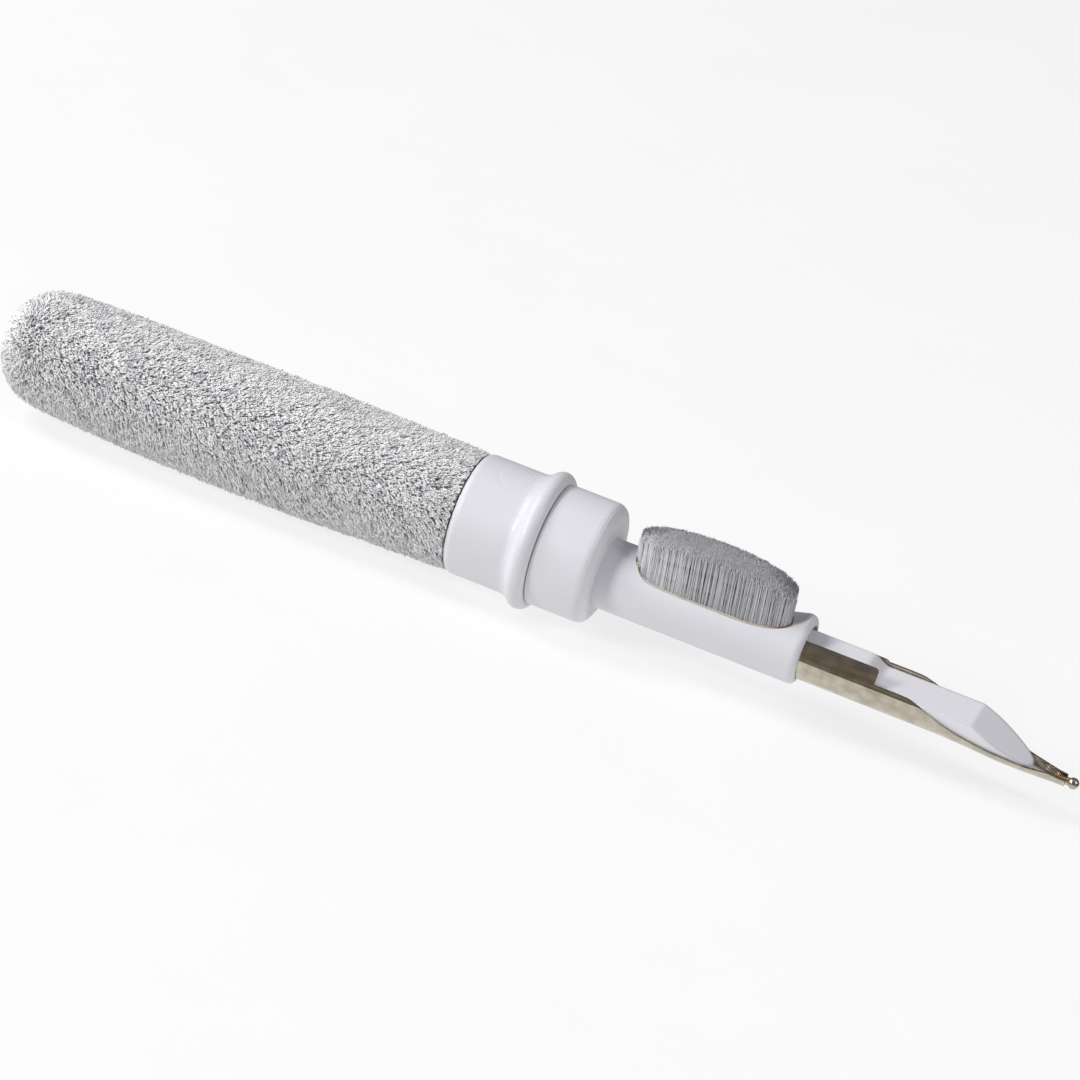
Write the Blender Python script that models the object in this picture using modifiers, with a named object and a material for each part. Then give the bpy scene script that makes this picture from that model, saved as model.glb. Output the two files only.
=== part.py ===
"""The core of a three-in-one lens and earbud cleaning pen, with both of its push-on caps taken off.

A flocked sponge stick and a nosed front body meet in a ringed collar.  The front body carries an
oval brush in a dished seat and a slotted steel nib around a white plastic scraper.

Frame: +X runs along the pen from the sponge to the nib, and +Z is the way the brush points.  The
origin is on the pen's axis, halfway along its length.  The stations below are measured along the
axis from the middle of the ring bead, and pen_frame then carries every piece to the origin.
"""

import math

import bmesh
import bpy
from mathutils import Matrix

MM = 0.001

# ---- Driving dimensions, in metres ----------------------------------------------------------

FIT = 0.10 * MM               # clearance of pressed and glued pieces
FINE_FIT = 0.05 * MM          # clearance of tape and of the scraper in its shell
OVERSHOOT = 1.0 * MM          # how far a cutter passes the face that it cuts

# Collar: a short cylinder with a ring bead that stops both caps.
COLLAR_R = 6.55 * MM
COLLAR_REAR_X = -8.2 * MM
COLLAR_EDGE_R = 0.8 * MM
COLLAR_WALL = 1.5 * MM        # rear wall that traps the rod's head
SPIGOT_BORE_R = 5.15 * MM
ROD_HOLE_R = 3.25 * MM
RING_R = 7.5 * MM
RING_BEAD_R = 1.05 * MM
RING_BEAD_X = 0.15 * MM
RING_NOSE_X = 1.15 * MM
RING_NOSE_R = 6.8 * MM
RING_FLARE_R = 1.7 * MM       # concave blend from the collar up to the bead

# Front body: plug for the tip cap, spigot into the collar, and an eccentric neck.
PLUG_R = 6.525 * MM
PLUG_FRONT_X = 7.55 * MM
PLUG_EDGE_R = 1.15 * MM
PLUG_WALL = 2.0 * MM
SPIGOT_REAR_X = -5.1 * MM
SPIGOT_CORE_R = 3.9 * MM
NECK_R = 3.75 * MM
NECK_Z = -0.675 * MM          # the neck's axis lies below the pen's axis
NECK_FRONT_X = 29.95 * MM
NECK_EDGE_R = 0.7 * MM

# Dished seat and oval pocket of the brush.
SEAT_X = 20.1 * MM
SEAT_Z = 1.03 * MM            # lowest point of the dish
SEAT_RISE = 2.0 * MM          # from there to the dish's ends
SEAT_HALF_LENGTH = 9.4 * MM
SEAT_REAR_POWER = 10          # the dish is flat in its middle and turns up at its ends,
SEAT_FRONT_POWER = 3.6        # more sharply at the rear
BRUSH_X = 18.95 * MM
POCKET_HALF_LENGTH = 8.75 * MM
POCKET_HALF_WIDTH = 3.2 * MM
POCKET_POWER = 5.0            # exponent of the pocket's superellipse outline
POCKET_SKEW = 0.22            # how far the pocket's far side trails its near side, per width
POCKET_FLOOR_Z = 0.25 * MM
BLOCK_TOP_Z = 0.75 * MM
TUFT_INSET = 0.38 * MM        # from the pocket's wall to the bristles
TUFT_CROWN_Z = 6.15 * MM
TUFT_CROWN_R = 36.0 * MM      # lengthwise dome of the bristle tips
TUFT_STRETCH = 1.012          # lengthening of the tuft from its root to its crown
TUFT_SPREAD = 1.07            # widening of the tuft from its root to its crown
TUFT_LEAN = 0.08              # the bristles lean this far back for their height
TUFT_LEAN_Z = 2.0 * MM        # the lean leaves the tuft's outline in place at this height
TUFT_EDGE_R = 0.7 * MM
TUFT_REACH = POCKET_HALF_LENGTH + OVERSHOOT
TUFT_RIM_ANGLE = math.radians(50)
GLUE_R = 0.11 * MM

# Steel nib: a slotted tube that sits a little rolled in its socket and sags towards its tip.
NIB_Z = -0.8 * MM
NIB_ROLL = math.radians(8.5)
NIB_R = 2.88 * MM
NIB_WALL = 0.24 * MM
NIB_REAR_X = 22.3 * MM
NIB_TAPER_X = 50.2 * MM
NIB_END_X = 58.9 * MM
NIB_END_R = 0.72 * MM
SAG = -0.62 * MM
SAG_START_X = 44.5 * MM
SAG_END_X = 56.5 * MM
SHANK_END_X = 29.0 * MM       # behind this the nib and its socket are a low half-round
SHANK_TOP = 0.15 * MM
SLOT_TOP = 1.77 * MM          # height of the slot's edges over the nib's axis
SLOT_ROLL = math.radians(-5.6)
STEP_X = 38.0 * MM
STEP_EDGE_R = 0.45 * MM
SCOOP_EDGE = [                # x, height over the nib's axis
    (38.0 * MM, 0.88 * MM),
    (41.4 * MM, 0.88 * MM),
    (42.6 * MM, 0.60 * MM),
    (43.6 * MM, 0.26 * MM),
    (44.6 * MM, -0.10 * MM),
    (46.0 * MM, -0.62 * MM),
    (47.3 * MM, -1.00 * MM),
    (48.6 * MM, -1.28 * MM),
    (50.5 * MM, -1.58 * MM),
    (52.5 * MM, -1.85 * MM),
    (54.5 * MM, -2.25 * MM),
    (57.0 * MM, -2.36 * MM),
    (60.0 * MM, -2.55 * MM),
]
BALL_R = 0.60 * MM
BALL_X = 59.69 * MM
BALL_DROP = -2.9 * MM
BALL_STEM_R = 0.3 * MM
BALL_STEM_LENGTH = 2.0 * MM
BALL_NECK_R = 0.42 * MM       # brazed neck between the nib's end and the ball

# Scraper inside the nib.
RIB_TOP = 1.58 * MM           # the strip that shows in the slot
RIB_END_X = 36.2 * MM
HUMP_X = 38.2 * MM
HUMP_TOP = 0.5 * MM
FACET_X = 48.56 * MM
SCRAPER_TIP_X = 55.3 * MM
SCRAPER_TIP_DROP = -2.47 * MM
SCRAPER_TIP_ROUND = 1.5 * MM
SCRAPER_TIP_SWEEP = math.radians(80)

# Sponge stick.
ROD_R = 3.15 * MM
ROD_END_X = -56.5 * MM
ROD_BORE_R = 1.6 * MM
ROD_END_WALL = 2.0 * MM
ROD_CHAMFER = 0.5 * MM
ROD_HEAD_R = 5.0 * MM
ROD_HEAD_THICK = 1.2 * MM
TAPE_THICK = 0.15 * MM
TAPE_FRONT_X = -9.2 * MM
TAPE_REAR_X = -55.5 * MM
FOAM_R = 5.1 * MM
FOAM_END_X = -60.2 * MM
FOAM_ROUND = 2.2 * MM
SLEEVE_FRONT_X = -8.5 * MM
SLEEVE_CAP_WALL = 1.3 * MM
SLEEVE_BODY = [               # distance from the sleeve's rounded end, radius
    (53.3 * MM, 6.30 * MM),
    (51.5 * MM, 6.48 * MM),
    (43.5 * MM, 6.65 * MM),
    (36.5 * MM, 6.83 * MM),
    (28.5 * MM, 6.85 * MM),
    (15.0 * MM, 6.78 * MM),
    (10.5 * MM, 6.62 * MM),
]
SLEEVE_END_X = -61.8 * MM
SLEEVE_DOME_LENGTH = 7.0 * MM
SLEEVE_DOME_R = 6.48 * MM
SLEEVE_DOME_POWER = 2.5       # blunter than an ellipse

# Facets round each kind of shape, and the tolerances of the modelling.
TURN_STEPS = 64
SLEEVE_STEPS = 56             # also the neck
SMALL_STEPS = 40
BALL_STEPS = 24
BALL_ARC_STEPS = 11
POCKET_STEPS = 56
DISH_STEPS = 48               # along the seat's dish
CROWN_STEPS = 24              # along the tuft's crown
BEAD_STEPS = 9
FLARE_STEPS = 5
EDGE_STEPS = 5
FINE_EDGE_STEPS = 4
DOME_STEPS = 9
TAPER_STEPS = 14
SCOOP_STEPS = 3               # in each span of the scoop's edge
SCRAPER_STEPS = 6
SHARP_ANGLE = math.radians(35)
WELD = 0.001 * MM             # points closer than this are one point

# Local +Z of a turned or extruded piece laid along the pen's +X.
ALONG_PEN = Matrix.Rotation(math.radians(90), 4, "Y")
UPRIGHT = Matrix.Rotation(math.radians(90), 4, "X")
PEN_AXIS = Matrix.Identity(4)
NECK_AXIS = Matrix.Translation((0, 0, NECK_Z))
NIB_AXIS = Matrix.Translation((0, 0, NIB_Z))
NIB_FRAME = NIB_AXIS @ Matrix.Rotation(NIB_ROLL, 4, "X")
SLOT_FRAME = NIB_AXIS @ Matrix.Rotation(SLOT_ROLL, 4, "X")


# ---- Scene, materials and small helpers -----------------------------------------------------

def clear_scene():
    for obj in list(bpy.data.objects):
        bpy.data.objects.remove(obj, do_unlink=True)


def new_collection(name, hidden=False):
    collection = bpy.data.collections.new(name)
    bpy.context.scene.collection.children.link(collection)
    collection.hide_render = hidden
    return collection


def material(name, colour, roughness, metallic=0.0):
    made = bpy.data.materials.new(name)
    made.use_nodes = True
    shader = made.node_tree.nodes["Principled BSDF"]
    shader.inputs["Base Color"].default_value = (*colour, 1.0)
    shader.inputs["Roughness"].default_value = roughness
    shader.inputs["Metallic"].default_value = metallic
    made.diffuse_color = (*colour, 1.0)
    return made


def place(name, mesh, matrix, collection):
    obj = bpy.data.objects.new(name, mesh)
    obj.matrix_world = matrix
    collection.objects.link(obj)
    return obj


def make_cutter(obj):
    obj.hide_render = True
    obj.display_type = "WIRE"
    return obj


def settle(obj):
    """Replaces the object's mesh with its evaluated one, and shades it smooth between sharp edges."""
    bpy.context.view_layer.update()
    evaluated = obj.evaluated_get(bpy.context.evaluated_depsgraph_get())
    mesh = bpy.data.meshes.new_from_object(evaluated)
    obj.modifiers.clear()
    obj.data = mesh
    mesh.shade_smooth()
    mesh.set_sharp_from_angle(angle=SHARP_ANGLE)
    return obj


def boolean(obj, other, operation):
    modifier = obj.modifiers.new(operation.title(), "BOOLEAN")
    modifier.operation = operation
    modifier.object = other
    return settle(obj)


def finish(obj, made):
    obj.data.name = obj.name
    obj.data.materials.clear()
    obj.data.materials.append(made)
    return obj


# ---- Shape builders -------------------------------------------------------------------------

def arc(centre, radius, start, end, steps=EDGE_STEPS):
    """Points (x, r) of a circular arc, with angles in degrees from +x towards +r."""
    turns = [math.radians(start + (end - start) * i / steps) for i in range(steps + 1)]
    return [(centre[0] + radius * math.cos(a), centre[1] + radius * math.sin(a)) for a in turns]


def smoothstep(value):
    value = min(max(value, 0.0), 1.0)
    return value * value * (3 - 2 * value)


def turned(name, profile, collection, steps=TURN_STEPS, closed=False, frame=PEN_AXIS):
    """Turns (x, r) points about the frame's X axis.  They run nose to tail on the outer side."""
    mesh = bpy.data.meshes.new(name)
    edges = [(i, i + 1) for i in range(len(profile) - 1)]
    if closed:
        edges.append((len(profile) - 1, 0))
    mesh.from_pydata([(r, 0, x) for x, r in profile], edges, [])
    obj = place(name, mesh, frame @ ALONG_PEN, collection)
    screw = obj.modifiers.new("Turn", "SCREW")
    screw.axis = "Z"
    screw.angle = math.tau
    screw.steps = steps
    screw.render_steps = steps
    screw.use_merge_vertices = True
    screw.merge_threshold = WELD
    return settle(obj)


def prism(name, outline, low, high, matrix, collection):
    """A flat outline in local XY, thickened from low to high along local Z."""
    to_middle = Matrix.Translation((0, 0, (low + high) / 2))
    curve = bpy.data.curves.new(name, "CURVE")
    curve.dimensions = "2D"
    curve.fill_mode = "BOTH"
    curve.extrude = (high - low) / 2
    spline = curve.splines.new("POLY")
    spline.points.add(len(outline) - 1)
    spline.use_cyclic_u = True
    for point, (x, y) in zip(spline.points, outline):
        point.co = (x, y, 0, 1)
    return curve_to_mesh(name, curve, matrix @ to_middle, collection)


def bead(name, path, radius, collection):
    """A closed round bead along a loop of points."""
    curve = bpy.data.curves.new(name, "CURVE")
    curve.dimensions = "3D"
    curve.bevel_depth = radius
    curve.bevel_resolution = 1
    spline = curve.splines.new("POLY")
    spline.points.add(len(path) - 1)
    spline.use_cyclic_u = True
    for point, place_at in zip(spline.points, path):
        point.co = (*place_at, 1)
    return curve_to_mesh(name, curve, PEN_AXIS, collection)


def curve_to_mesh(name, curve, matrix, collection):
    """Makes a mesh object of the curve, with its loose caps welded on."""
    guide = bpy.data.objects.new(name + "_guide", curve)
    collection.objects.link(guide)
    bpy.context.view_layer.update()
    evaluated = guide.evaluated_get(bpy.context.evaluated_depsgraph_get())
    mesh = bpy.data.meshes.new_from_object(evaluated)
    bpy.data.objects.remove(guide, do_unlink=True)
    shape = bmesh.new()
    shape.from_mesh(mesh)
    bmesh.ops.remove_doubles(shape, verts=shape.verts, dist=WELD)
    bmesh.ops.recalc_face_normals(shape, faces=shape.faces)
    shape.to_mesh(mesh)
    shape.free()
    return place(name, mesh, matrix, collection)


def loft(name, rings, collection, matrix):
    """Joins rings of equal point counts into one closed body, with a flat cap at each end."""
    shape = bmesh.new()
    loops = [[shape.verts.new(point) for point in ring] for ring in rings]
    count = len(loops[0])
    for first, second in zip(loops, loops[1:]):
        for i in range(count):
            j = (i + 1) % count
            shape.faces.new((first[i], first[j], second[j], second[i]))
    shape.faces.new(loops[0])
    shape.faces.new(loops[-1])
    bmesh.ops.recalc_face_normals(shape, faces=shape.faces)
    mesh = bpy.data.meshes.new(name)
    shape.to_mesh(mesh)
    shape.free()
    return place(name, mesh, matrix, collection)


def oval(half_length, half_width):
    """A superellipse outline about the brush's centre."""
    points = []
    for i in range(POCKET_STEPS):
        a = math.tau * i / POCKET_STEPS
        x = abs(math.cos(a)) ** (2 / POCKET_POWER) * math.copysign(half_length, math.cos(a))
        y = abs(math.sin(a)) ** (2 / POCKET_POWER) * math.copysign(half_width, math.sin(a))
        points.append((BRUSH_X + x - POCKET_SKEW * y, y))
    return points


def side_prism(name, outline, frame, collection):
    """An outline of (x, height) points, thickened across the whole pen."""
    return prism(name, outline, -RING_R, RING_R, frame @ UPRIGHT, collection)


def side_cut(name, line, frame, cutters):
    """A cutter that removes everything over a line of (x, height) points in the given frame."""
    outline = [(line[0][0], RING_R)] + line + [(line[-1][0], RING_R)]
    return make_cutter(side_prism(name, outline, frame, cutters))


def stations(first, last, steps):
    return [first + (last - first) * i / steps for i in range(steps + 1)]


# ---- Collar and sponge stick ----------------------------------------------------------------

def collar_sleeve(parts):
    bead_r = RING_R - RING_BEAD_R
    flare_r = COLLAR_R + RING_FLARE_R
    reach = RING_BEAD_R + RING_FLARE_R
    flare_x = RING_BEAD_X - math.sqrt(reach**2 - (flare_r - bead_r) ** 2)
    blend = math.degrees(math.atan2(flare_r - bead_r, flare_x - RING_BEAD_X))
    nose = math.degrees(math.asin((RING_NOSE_R - bead_r) / RING_BEAD_R))
    profile = [(RING_NOSE_X, SPIGOT_BORE_R)]
    profile.append((RING_NOSE_X, RING_NOSE_R))
    profile += arc((RING_BEAD_X, bead_r), RING_BEAD_R, nose, blend, BEAD_STEPS)
    profile += arc((flare_x, flare_r), RING_FLARE_R, blend - 180, -90, FLARE_STEPS)[1:]
    edge_r = COLLAR_R - COLLAR_EDGE_R
    profile += arc((COLLAR_REAR_X + COLLAR_EDGE_R, edge_r), COLLAR_EDGE_R, 90, 180)
    profile.append((COLLAR_REAR_X, ROD_HOLE_R))
    profile.append((COLLAR_REAR_X + COLLAR_WALL, ROD_HOLE_R))
    profile.append((COLLAR_REAR_X + COLLAR_WALL, SPIGOT_BORE_R))
    return turned("collar_sleeve", profile, parts, closed=True)


def core_rod(parts):
    head_rear = COLLAR_REAR_X + COLLAR_WALL + FIT
    head_front = head_rear + ROD_HEAD_THICK
    profile = [
        (ROD_END_X + ROD_END_WALL, 0),
        (ROD_END_X + ROD_END_WALL, ROD_BORE_R),
        (head_front, ROD_BORE_R),
        (head_front, ROD_HEAD_R),
        (head_rear, ROD_HEAD_R),
        (head_rear, ROD_R),
        (ROD_END_X + ROD_CHAMFER, ROD_R),
        (ROD_END_X, ROD_R - ROD_CHAMFER),
        (ROD_END_X, 0),
    ]
    return turned("core_rod", profile, parts, SMALL_STEPS)


def tape_wrap(parts):
    inner = ROD_R + FINE_FIT
    outer = inner + TAPE_THICK
    profile = [
        (TAPE_FRONT_X, inner),
        (TAPE_FRONT_X, outer),
        (TAPE_REAR_X, outer),
        (TAPE_REAR_X, inner),
    ]
    return turned("tape_wrap", profile, parts, SMALL_STEPS, closed=True)


def foam_sleeve(parts):
    inner = ROD_R + TAPE_THICK + 2 * FINE_FIT
    blind_x = ROD_END_X - FIT
    profile = [
        (blind_x, 0),
        (blind_x, inner),
        (SLEEVE_FRONT_X, inner),
        (SLEEVE_FRONT_X, FOAM_R),
    ]
    profile += arc((FOAM_END_X + FOAM_ROUND, FOAM_R - FOAM_ROUND), FOAM_ROUND, 90, 180)
    profile.append((FOAM_END_X, 0))
    return turned("foam_sleeve", profile, parts, SMALL_STEPS)


def sleeve_dome():
    """Points of the sleeve's blunt end, from its shoulder to its tip on the axis."""
    points = []
    for i in range(DOME_STEPS + 1):
        a = math.radians(90) * i / DOME_STEPS
        along = math.sin(a) ** (2 / SLEEVE_DOME_POWER)
        across = math.cos(a) ** (2 / SLEEVE_DOME_POWER)
        points.append((SLEEVE_END_X + SLEEVE_DOME_LENGTH * (1 - along), SLEEVE_DOME_R * across))
    points[-1] = (SLEEVE_END_X, 0)
    return points


def pile_sleeve(parts):
    inner_r = FOAM_R + FIT
    inner_end = SLEEVE_END_X + SLEEVE_CAP_WALL
    profile = [(inner_end, 0)]
    profile += arc((inner_end + FOAM_ROUND, inner_r - FOAM_ROUND), FOAM_ROUND, 180, 90)
    profile.append((SLEEVE_FRONT_X, inner_r))
    profile += [(SLEEVE_END_X + along, radius) for along, radius in SLEEVE_BODY]
    profile += sleeve_dome()
    return turned("pile_sleeve", profile, parts, SLEEVE_STEPS)


# ---- Front body and brush -------------------------------------------------------------------

def plug_blank(parts):
    edge = (PLUG_FRONT_X - PLUG_EDGE_R, PLUG_R - PLUG_EDGE_R)
    shoulder_x = RING_NOSE_X + FIT
    spigot_r = SPIGOT_BORE_R - FIT
    profile = [(PLUG_FRONT_X, 0)]
    profile += arc(edge, PLUG_EDGE_R, 0, 90)
    profile += [
        (shoulder_x, PLUG_R),
        (shoulder_x, spigot_r),
        (SPIGOT_REAR_X, spigot_r),
        (SPIGOT_REAR_X, SPIGOT_CORE_R),
        (PLUG_FRONT_X - PLUG_WALL, SPIGOT_CORE_R),
        (PLUG_FRONT_X - PLUG_WALL, 0),
    ]
    return turned("front_body", profile, parts)


def neck_blank(cutters):
    root_x = PLUG_FRONT_X - PLUG_WALL / 2
    edge = (NECK_FRONT_X - NECK_EDGE_R, NECK_R - NECK_EDGE_R)
    profile = [(NECK_FRONT_X, 0)]
    profile += arc(edge, NECK_EDGE_R, 0, 90, FINE_EDGE_STEPS)
    profile += [(root_x, NECK_R), (root_x, 0)]
    return turned("neck_blank", profile, cutters, SLEEVE_STEPS, frame=NECK_AXIS)


def round_outline(radius, top=None):
    """A circle in the extrusion's plane, cut flat at a height over its centre when top is given."""
    if top is None:
        angles = [math.tau * i / SMALL_STEPS for i in range(SMALL_STEPS)]
    else:
        start = math.asin(top / radius)
        sweep = -math.pi - 2 * start
        angles = [start + sweep * i / SMALL_STEPS for i in range(SMALL_STEPS + 1)]
    return [(-radius * math.sin(a), radius * math.cos(a)) for a in angles]


def dish_height(x):
    power = SEAT_REAR_POWER if x < SEAT_X else SEAT_FRONT_POWER
    return SEAT_Z + SEAT_RISE * abs((x - SEAT_X) / SEAT_HALF_LENGTH) ** power


def front_body(parts, cutters):
    """The plug with its neck, dished and pocketed for the brush and bored for the nib."""
    body = plug_blank(parts)
    neck = neck_blank(cutters)
    along = stations(SEAT_X - SEAT_HALF_LENGTH, SEAT_X + SEAT_HALF_LENGTH, DISH_STEPS)
    dish = [(x, dish_height(x)) for x in along]
    boolean(neck, side_cut("seat_dish", dish, PEN_AXIS, cutters), "DIFFERENCE")
    boolean(body, make_cutter(neck), "UNION")

    outline = oval(POCKET_HALF_LENGTH, POCKET_HALF_WIDTH)
    pocket = prism("brush_pocket", outline, POCKET_FLOOR_Z, RING_R, PEN_AXIS, cutters)
    boolean(body, make_cutter(pocket), "DIFFERENCE")

    lay = NIB_FRAME @ ALONG_PEN
    bore_r = NIB_R + FINE_FIT
    out = NECK_FRONT_X + OVERSHOOT
    mouth = prism("nib_bore", round_outline(bore_r), SHANK_END_X - FIT, out, lay, cutters)
    boolean(body, make_cutter(mouth), "DIFFERENCE")
    flat = round_outline(bore_r, SHANK_TOP + FIT)
    shank = prism("shank_bore", flat, NIB_REAR_X - FIT, SHANK_END_X + FIT, lay, cutters)
    boolean(body, make_cutter(shank), "DIFFERENCE")
    return body


def brush_block(parts):
    outline = oval(POCKET_HALF_LENGTH - FIT, POCKET_HALF_WIDTH - FIT)
    low = POCKET_FLOOR_Z + FIT
    return prism("brush_block", outline, low, BLOCK_TOP_Z, PEN_AXIS, parts)


def crown_height(x):
    return TUFT_CROWN_Z - TUFT_CROWN_R + math.sqrt(TUFT_CROWN_R**2 - x**2)


def bristle_tuft(parts, cutters):
    """The whole tuft as one solid: it widens and leans back from its root to its domed crown."""
    outline = oval(POCKET_HALF_LENGTH - TUFT_INSET, POCKET_HALF_WIDTH - TUFT_INSET)
    low = BLOCK_TOP_Z + FIT
    high = TUFT_CROWN_Z + OVERSHOOT
    tuft = prism("bristle_tuft", outline, low, high, PEN_AXIS, parts)
    middle = (low + high) / 2
    for vertex in tuft.data.vertices:
        vertex.co.x -= TUFT_LEAN * (vertex.co.z + middle - TUFT_LEAN_Z)
        if vertex.co.z > 0:
            vertex.co.x = BRUSH_X + (vertex.co.x - BRUSH_X) * TUFT_STRETCH
            vertex.co.y *= TUFT_SPREAD
    crown = [(BRUSH_X + x, crown_height(x)) for x in stations(-TUFT_REACH, TUFT_REACH, CROWN_STEPS)]
    boolean(tuft, side_cut("crown_dome", crown, PEN_AXIS, cutters), "DIFFERENCE")
    edge = tuft.modifiers.new("Rounded rims", "BEVEL")
    edge.width = TUFT_EDGE_R
    edge.segments = 2
    edge.limit_method = "ANGLE"
    edge.angle_limit = TUFT_RIM_ANGLE
    return settle(tuft)


def seat_height(x, y):
    """Height of the neck's surface at the pocket: its dish, or its round side where that is lower."""
    round_side = NECK_Z + math.sqrt(NECK_R**2 - y**2)
    return min(dish_height(x), round_side)


def glue_bead(parts):
    inset = TUFT_INSET / 2
    outline = oval(POCKET_HALF_LENGTH - inset, POCKET_HALF_WIDTH - inset)
    path = [(x, y, seat_height(x, y)) for x, y in outline]
    return bead("glue_bead", path, GLUE_R, parts)


# ---- Nib ------------------------------------------------------------------------------------

def nib_radius(x):
    """Outer radius of the nib's tube, which rolls in to a point in front of the scraper."""
    share = smoothstep((x - NIB_TAPER_X) / (NIB_END_X - NIB_TAPER_X))
    return NIB_R + (NIB_END_R - NIB_R) * share


def nib_centre(x):
    """Height of the tube's centre over the nib's axis: the underside is straight but for its sag."""
    sag = SAG * smoothstep((x - SAG_START_X) / (SAG_END_X - SAG_START_X))
    return nib_radius(x) - NIB_R + sag


def nib_ring(x, inset, shrink=1.0):
    """A circle of the nib's tube at x.  A shrunken one still touches the tube's underside."""
    radius = (nib_radius(x) - inset) * shrink
    centre = nib_centre(x) + (nib_radius(x) - inset) * (shrink - 1)
    angles = [math.tau * i / SMALL_STEPS for i in range(SMALL_STEPS)]
    return [(x, radius * math.sin(a), centre + radius * math.cos(a)) for a in angles]


def smooth_line(points, steps):
    """Extra points on a smooth line through the given (x, height) points."""
    line = []
    padded = [points[0]] + points + [points[-1]]
    for before, start, end, after in zip(padded, padded[1:], padded[2:], padded[3:]):
        for i in range(steps):
            t = i / steps
            weights = (
                t * (t * (2 - t) - 1) / 2,
                (t * t * (3 * t - 5) + 2) / 2,
                t * (t * (4 - 3 * t) + 1) / 2,
                t * t * (t - 1) / 2,
            )
            ends = (before, start, end, after)
            line.append(tuple(sum(w * p[k] for w, p in zip(weights, ends)) for k in range(2)))
    return line + [points[-1]]


def nib_shell(parts, cutters):
    """The slotted, scooped tube.  Slot and scoop were cut at different turns about its axis."""
    taper = stations(SAG_START_X, NIB_END_X, TAPER_STEPS)
    rings = [nib_ring(x, 0) for x in [NIB_REAR_X] + taper]
    shell = loft("nib_shell", rings, parts, NIB_FRAME)
    through = [NIB_REAR_X - OVERSHOOT] + taper + [NIB_END_X + OVERSHOOT]
    hollow = loft("nib_hollow", [nib_ring(x, NIB_WALL) for x in through], cutters, NIB_FRAME)
    boolean(shell, make_cutter(hollow), "DIFFERENCE")

    shank = [(NIB_REAR_X - OVERSHOOT, SHANK_TOP), (SHANK_END_X, SHANK_TOP)]
    boolean(shell, side_cut("nib_shank_edges", shank, NIB_FRAME, cutters), "DIFFERENCE")
    slot = [(NIB_REAR_X - OVERSHOOT, SLOT_TOP)]
    step_edge = (STEP_X - STEP_EDGE_R, SLOT_TOP - STEP_EDGE_R)
    slot += arc(step_edge, STEP_EDGE_R, 90, 0, FINE_EDGE_STEPS)
    boolean(shell, side_cut("nib_slot", slot, SLOT_FRAME, cutters), "DIFFERENCE")
    scoop = smooth_line(SCOOP_EDGE, SCOOP_STEPS)
    boolean(shell, side_cut("nib_scoop", scoop, NIB_FRAME, cutters), "DIFFERENCE")
    return shell


def nib_scraper(parts, cutters):
    inset = NIB_WALL + FINE_FIT
    last = SCRAPER_TIP_X - SCRAPER_TIP_ROUND
    along = [NIB_REAR_X + FIT] + stations(SAG_START_X, last, TAPER_STEPS)
    rings = [nib_ring(x, inset) for x in along]
    for a in stations(0, SCRAPER_TIP_SWEEP, SCRAPER_STEPS)[1:]:
        rings.append(nib_ring(last + SCRAPER_TIP_ROUND * math.sin(a), inset, math.cos(a)))
    scraper = loft("nib_scraper", rings, parts, NIB_FRAME)

    shank_top = SHANK_TOP - FIT
    line = [(NIB_REAR_X - FIT, shank_top), (SHANK_END_X, shank_top), (SHANK_END_X, RIB_TOP)]
    for x in stations(RIB_END_X, HUMP_X, SCRAPER_STEPS):
        share = smoothstep((x - RIB_END_X) / (HUMP_X - RIB_END_X))
        line.append((x, RIB_TOP + (HUMP_TOP - RIB_TOP) * share))
    line.append((FACET_X, HUMP_TOP))
    slope = (SCRAPER_TIP_DROP - HUMP_TOP) / (SCRAPER_TIP_X - FACET_X)
    past_tip = SCRAPER_TIP_X + OVERSHOOT
    line.append((past_tip, HUMP_TOP + slope * (past_tip - FACET_X)))
    boolean(scraper, side_cut("scraper_top", line, NIB_FRAME, cutters), "DIFFERENCE")
    return scraper


def nib_ball(parts):
    """The ball, brazed on a neck and a stem that sits in the rolled end of the nib."""
    neck_angle = math.degrees(math.asin(BALL_NECK_R / BALL_R))
    profile = arc((BALL_X, 0), BALL_R, 0, 180 - neck_angle, BALL_ARC_STEPS)
    profile[0] = (BALL_X + BALL_R, 0)
    neck_end = NIB_END_X + FINE_FIT
    stem_end = BALL_X - BALL_STEM_LENGTH
    profile += [(neck_end, BALL_NECK_R), (neck_end, BALL_STEM_R)]
    profile += [(stem_end, BALL_STEM_R), (stem_end, 0)]
    frame = NIB_FRAME @ Matrix.Translation((0, 0, BALL_DROP))
    return turned("nib_ball", profile, parts, BALL_STEPS, frame=frame)


# ---- The whole pen --------------------------------------------------------------------------

def carry_to_origin(parts, cutters):
    """Parents every object to an empty that puts the pen's middle at the world's origin."""
    middle = (SLEEVE_END_X + BALL_X + BALL_R) / 2
    frame = bpy.data.objects.new("pen_frame", None)
    parts.objects.link(frame)
    for obj in [*parts.objects, *cutters.objects]:
        if obj is not frame:
            obj.parent = frame
    frame.location = (-middle, 0, 0)
    bpy.context.view_layer.update()


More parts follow.
